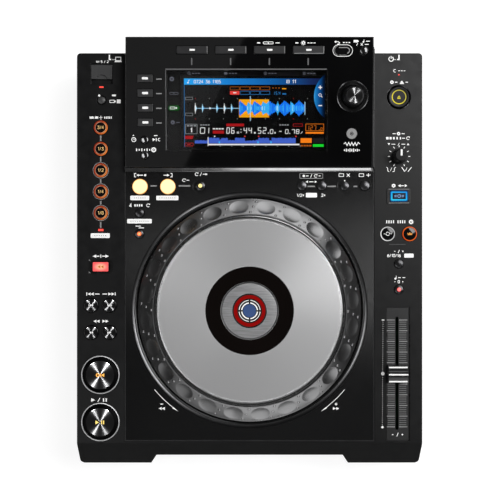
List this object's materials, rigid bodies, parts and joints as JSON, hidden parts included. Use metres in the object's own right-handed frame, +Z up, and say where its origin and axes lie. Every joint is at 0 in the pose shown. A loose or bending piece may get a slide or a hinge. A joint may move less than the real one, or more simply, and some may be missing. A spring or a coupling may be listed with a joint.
{
  "type": "tabletop dj cd player",
  "caption": "Tabletop DJ disc player with jog wheel, raised tilted display housing, tempo slider, push keys, disc slot, hinged USB cover and rear jacks.",
  "frame": {"origin": "centre of the bounding box's footprint, on the table under the feet", "axes": "+Z up, +Y towards the rear (away from the player), +X to the right"},
  "size_m": [0.306, 0.378, 0.1063],
  "materials": {
    "casing_black": "fine satin moulded plastic",
    "chassis_black": "semi-matt painted steel",
    "display_black": "high gloss",
    "window": "dark clear acrylic",
    "lcd": "lit picture",
    "jog_ring": "metallic painted",
    "platter": "satin",
    "jog_display": "printed and gloss",
    "key_black": "satin black",
    "key_lit_orange": "lit ring",
    "key_cream": "lit",
    "key_grey": "satin grey",
    "key_silver": "satin silver",
    "key_red": "translucent red",
    "key_blue": "translucent blue",
    "knob_black": "satin, grooved",
    "slider": "satin grey",
    "rubber": "matt",
    "steel": "plated",
    "board": "solder mask",
    "drive": "plated"
  },
  "bodies": {
    "root": {"bottom_chassis": "chassis_black", "top_cover": "casing_black", "deck_plate": "casing_black", "display_housing": "display_black", "display_window": "window", "lcd_module": "lcd", "jog_post": "jog_display", "circuit_boards": "board", "disc_drive": "drive", "rubber_feet": "rubber", "screws": "steel"},
    "usb_stop_button": {"usb_stop_button": "key_black"},
    "beat_button_1": {"beat_button_1": "key_lit_orange"},
    "beat_button_2": {"beat_button_2": "key_lit_orange"},
    "beat_button_3": {"beat_button_3": "key_lit_orange"},
    "beat_button_4": {"beat_button_4": "key_lit_orange"},
    "beat_button_5": {"beat_button_5": "key_lit_orange"},
    "direction_button": {"direction_button": "key_red"},
    "track_back_button": {"track_back_button": "key_black"},
    "track_forward_button": {"track_forward_button": "key_black"},
    "search_back_button": {"search_back_button": "key_black"},
    "search_forward_button": {"search_forward_button": "key_black"},
    "cue_button": {"cue_button": "key_black"},
    "play_button": {"play_button": "key_black"},
    "loop_in_button": {"loop_in_button": "key_cream"},
    "loop_out_button": {"loop_out_button": "key_cream"},
    "reloop_button": {"reloop_button": "key_black"},
    "four_beat_button": {"four_beat_button": "key_black"},
    "slip_button": {"slip_button": "key_black"},
    "call_back_button": {"call_back_button": "key_silver"},
    "call_forward_button": {"call_forward_button": "key_silver"},
    "delete_button": {"delete_button": "key_black"},
    "memory_button": {"memory_button": "key_black"},
    "eject_button": {"eject_button": "key_black"},
    "jog_mode_button": {"jog_mode_button": "key_blue"},
    "sync_button": {"sync_button": "key_black"},
    "master_button": {"master_button": "key_black"},
    "tempo_range_button": {"tempo_range_button": "key_black"},
    "master_tempo_button": {"master_tempo_button": "key_black"},
    "browse_key": {"browse_key": "key_grey"},
    "tag_list_key": {"tag_list_key": "key_grey"},
    "info_key": {"info_key": "key_grey"},
    "menu_key": {"menu_key": "key_grey"},
    "source_key_1": {"source_key_1": "key_grey"},
    "source_key_2": {"source_key_2": "key_grey"},
    "source_key_3": {"source_key_3": "key_grey"},
    "source_key_4": {"source_key_4": "key_grey"},
    "back_button": {"back_button": "key_black"},
    "tag_button": {"tag_button": "key_black"},
    "time_mode_button": {"time_mode_button": "key_black"},
    "quantize_button": {"quantize_button": "key_black"},
    "usb_cover": {"usb_cover": "key_grey"},
    "tempo_slider": {"tempo_slider": "slider"},
    "vinyl_speed_knob": {"vinyl_speed_knob": "knob_black"},
    "selector_shaft": {"selector_shaft": "steel"},
    "selector_knob": {"selector_knob": "knob_black"},
    "jog_wheel": {"jog_wheel": "jog_ring"},
    "jog_platter": {"jog_platter": "platter"},
    "disc_hub": {"disc_hub": "key_black"},
    "power_button": {"power_button": "key_black"}
  },
  "joints": [
    {"name": "usb_stop_push", "type": "slide", "parent": "root", "child": "usb_stop_button", "axis": [0, 0, -1], "range_m": [0, 0.0005], "stiffness_N_per_m": 400},
    {"name": "beat_1_push", "type": "slide", "parent": "root", "child": "beat_button_1", "axis": [0, 0, -1], "range_m": [0, 0.0008], "stiffness_N_per_m": 400},
    {"name": "beat_2_push", "type": "slide", "parent": "root", "child": "beat_button_2", "axis": [0, 0, -1], "range_m": [0, 0.0008], "stiffness_N_per_m": 400},
    {"name": "beat_3_push", "type": "slide", "parent": "root", "child": "beat_button_3", "axis": [0, 0, -1], "range_m": [0, 0.0008], "stiffness_N_per_m": 400},
    {"name": "beat_4_push", "type": "slide", "parent": "root", "child": "beat_button_4", "axis": [0, 0, -1], "range_m": [0, 0.0008], "stiffness_N_per_m": 400},
    {"name": "beat_5_push", "type": "slide", "parent": "root", "child": "beat_button_5", "axis": [0, 0, -1], "range_m": [0, 0.0008], "stiffness_N_per_m": 400},
    {"name": "direction_push", "type": "slide", "parent": "root", "child": "direction_button", "axis": [0, 0, -1], "range_m": [0, 0.0008], "stiffness_N_per_m": 400},
    {"name": "track_back_push", "type": "slide", "parent": "root", "child": "track_back_button", "axis": [0, 0, -1], "range_m": [0, 0.0008], "stiffness_N_per_m": 400},
    {"name": "track_forward_push", "type": "slide", "parent": "root", "child": "track_forward_button", "axis": [0, 0, -1], "range_m": [0, 0.0008], "stiffness_N_per_m": 400},
    {"name": "search_back_push", "type": "slide", "parent": "root", "child": "search_back_button", "axis": [0, 0, -1], "range_m": [0, 0.0008], "stiffness_N_per_m": 400},
    {"name": "search_forward_push", "type": "slide", "parent": "root", "child": "search_forward_button", "axis": [0, 0, -1], "range_m": [0, 0.0008], "stiffness_N_per_m": 400},
    {"name": "cue_push", "type": "slide", "parent": "root", "child": "cue_button", "axis": [0, 0, -1], "range_m": [0, 0.0009], "stiffness_N_per_m": 600},
    {"name": "play_push", "type": "slide", "parent": "root", "child": "play_button", "axis": [0, 0, -1], "range_m": [0, 0.0009], "stiffness_N_per_m": 600},
    {"name": "loop_in_push", "type": "slide", "parent": "root", "child": "loop_in_button", "axis": [0, 0, -1], "range_m": [0, 0.0008], "stiffness_N_per_m": 400},
    {"name": "loop_out_push", "type": "slide", "parent": "root", "child": "loop_out_button", "axis": [0, 0, -1], "range_m": [0, 0.0008], "stiffness_N_per_m": 400},
    {"name": "reloop_push", "type": "slide", "parent": "root", "child": "reloop_button", "axis": [0, 0, -1], "range_m": [0, 0.0008], "stiffness_N_per_m": 400},
    {"name": "four_beat_push", "type": "slide", "parent": "root", "child": "four_beat_button", "axis": [0, 0, -1], "range_m": [0, 0.0008], "stiffness_N_per_m": 400},
    {"name": "slip_push", "type": "slide", "parent": "root", "child": "slip_button", "axis": [0, 0, -1], "range_m": [0, 0.0008], "stiffness_N_per_m": 400},
    {"name": "call_back_push", "type": "slide", "parent": "root", "child": "call_back_button", "axis": [0, 0, -1], "range_m": [0, 0.0008], "stiffness_N_per_m": 400},
    {"name": "call_forward_push", "type": "slide", "parent": "root", "child": "call_forward_button", "axis": [0, 0, -1], "range_m": [0, 0.0008], "stiffness_N_per_m": 400},
    {"name": "delete_push", "type": "slide", "parent": "root", "child": "delete_button", "axis": [0, 0, -1], "range_m": [0, 0.0005], "stiffness_N_per_m": 400},
    {"name": "memory_push", "type": "slide", "parent": "root", "child": "memory_button", "axis": [0, 0, -1], "range_m": [0, 0.0008], "stiffness_N_per_m": 400},
    {"name": "eject_push", "type": "slide", "parent": "root", "child": "eject_button", "axis": [0, 0, -1], "range_m": [0, 0.0008], "stiffness_N_per_m": 400},
    {"name": "jog_mode_push", "type": "slide", "parent": "root", "child": "jog_mode_button", "axis": [0, 0, -1], "range_m": [0, 0.0008], "stiffness_N_per_m": 400},
    {"name": "sync_push", "type": "slide", "parent": "root", "child": "sync_button", "axis": [0, 0, -1], "range_m": [0, 0.0008], "stiffness_N_per_m": 400},
    {"name": "master_push", "type": "slide", "parent": "root", "child": "master_button", "axis": [0, 0, -1], "range_m": [0, 0.0008], "stiffness_N_per_m": 400},
    {"name": "tempo_range_push", "type": "slide", "parent": "root", "child": "tempo_range_button", "axis": [0, 0, -1], "range_m": [0, 0.0008], "stiffness_N_per_m": 400},
    {"name": "master_tempo_push", "type": "slide", "parent": "root", "child": "master_tempo_button", "axis": [0, 0, -1], "range_m": [0, 0.0008], "stiffness_N_per_m": 400},
    {"name": "browse_press", "type": "slide", "parent": "root", "child": "browse_key", "axis": [0, 0.1045, -0.9945], "range_m": [0, 0.0006], "stiffness_N_per_m": 400},
    {"name": "tag_list_press", "type": "slide", "parent": "root", "child": "tag_list_key", "axis": [0, 0.1045, -0.9945], "range_m": [0, 0.0006], "stiffness_N_per_m": 400},
    {"name": "info_press", "type": "slide", "parent": "root", "child": "info_key", "axis": [0, 0.1045, -0.9945], "range_m": [0, 0.0006], "stiffness_N_per_m": 400},
    {"name": "menu_press", "type": "slide", "parent": "root", "child": "menu_key", "axis": [0, 0.1045, -0.9945], "range_m": [0, 0.0006], "stiffness_N_per_m": 400},
    {"name": "source_1_press", "type": "slide", "parent": "root", "child": "source_key_1", "axis": [0, 0.1045, -0.9945], "range_m": [0, 0.0006], "stiffness_N_per_m": 400},
    {"name": "source_2_press", "type": "slide", "parent": "root", "child": "source_key_2", "axis": [0, 0.1045, -0.9945], "range_m": [0, 0.0006], "stiffness_N_per_m": 400},
    {"name": "source_3_press", "type": "slide", "parent": "root", "child": "source_key_3", "axis": [0, 0.1045, -0.9945], "range_m": [0, 0.0006], "stiffness_N_per_m": 400},
    {"name": "source_4_press", "type": "slide", "parent": "root", "child": "source_key_4", "axis": [0, 0.1045, -0.9945], "range_m": [0, 0.0006], "stiffness_N_per_m": 400},
    {"name": "back_press", "type": "slide", "parent": "root", "child": "back_button", "axis": [0, 0.1045, -0.9945], "range_m": [0, 0.0006], "stiffness_N_per_m": 400},
    {"name": "tag_press", "type": "slide", "parent": "root", "child": "tag_button", "axis": [0, 0.1045, -0.9945], "range_m": [0, 0.0006], "stiffness_N_per_m": 400},
    {"name": "time_mode_press", "type": "slide", "parent": "root", "child": "time_mode_button", "axis": [0, 0.1045, -0.9945], "range_m": [0, 0.0006], "stiffness_N_per_m": 400},
    {"name": "quantize_press", "type": "slide", "parent": "root", "child": "quantize_button", "axis": [0, 0.1045, -0.9945], "range_m": [0, 0.0006], "stiffness_N_per_m": 400},
    {"name": "usb_cover_hinge", "type": "hinge", "parent": "root", "child": "usb_cover", "pos_m": [-0.131, 0.1669, 0.0727], "axis": [-1, 0, 0], "range_deg": [0, 100]},
    {"name": "tempo_slide", "type": "slide", "parent": "root", "child": "tempo_slider", "axis": [0, -1, 0], "range_m": [-0.047, 0.047]},
    {"name": "vinyl_speed_turn", "type": "hinge", "parent": "root", "child": "vinyl_speed_knob", "pos_m": [0.1324, 0.0867, 0.08], "axis": [0, 0, -1], "range_deg": [-150, 150]},
    {"name": "selector_push", "type": "slide", "parent": "root", "child": "selector_shaft", "axis": [0, 0.1045, -0.9945], "range_m": [0, 0.0006], "stiffness_N_per_m": 500},
    {"name": "selector_turn", "type": "hinge", "parent": "selector_shaft", "child": "selector_knob", "pos_m": [0.0899, 0.13786, 0.08646], "axis": [0, -0.1045, 0.9945], "continuous": true},
    {"name": "jog_turn", "type": "hinge", "parent": "root", "child": "jog_wheel", "pos_m": [0, -0.0492, 0.08], "axis": [0, 0, 1], "continuous": true},
    {"name": "platter_press", "type": "slide", "parent": "jog_wheel", "child": "jog_platter", "axis": [0, 0, -1], "range_m": [0, 0.0005], "stiffness_N_per_m": 8000},
    {"name": "disc_spin", "type": "hinge", "parent": "root", "child": "disc_hub", "pos_m": [0, -0.104, 0.036], "axis": [0, 0, 1], "continuous": true},
    {"name": "power_push", "type": "slide", "parent": "root", "child": "power_button", "axis": [0, -1, 0], "range_m": [0, 0.0025], "stiffness_N_per_m": 500}
  ]
}
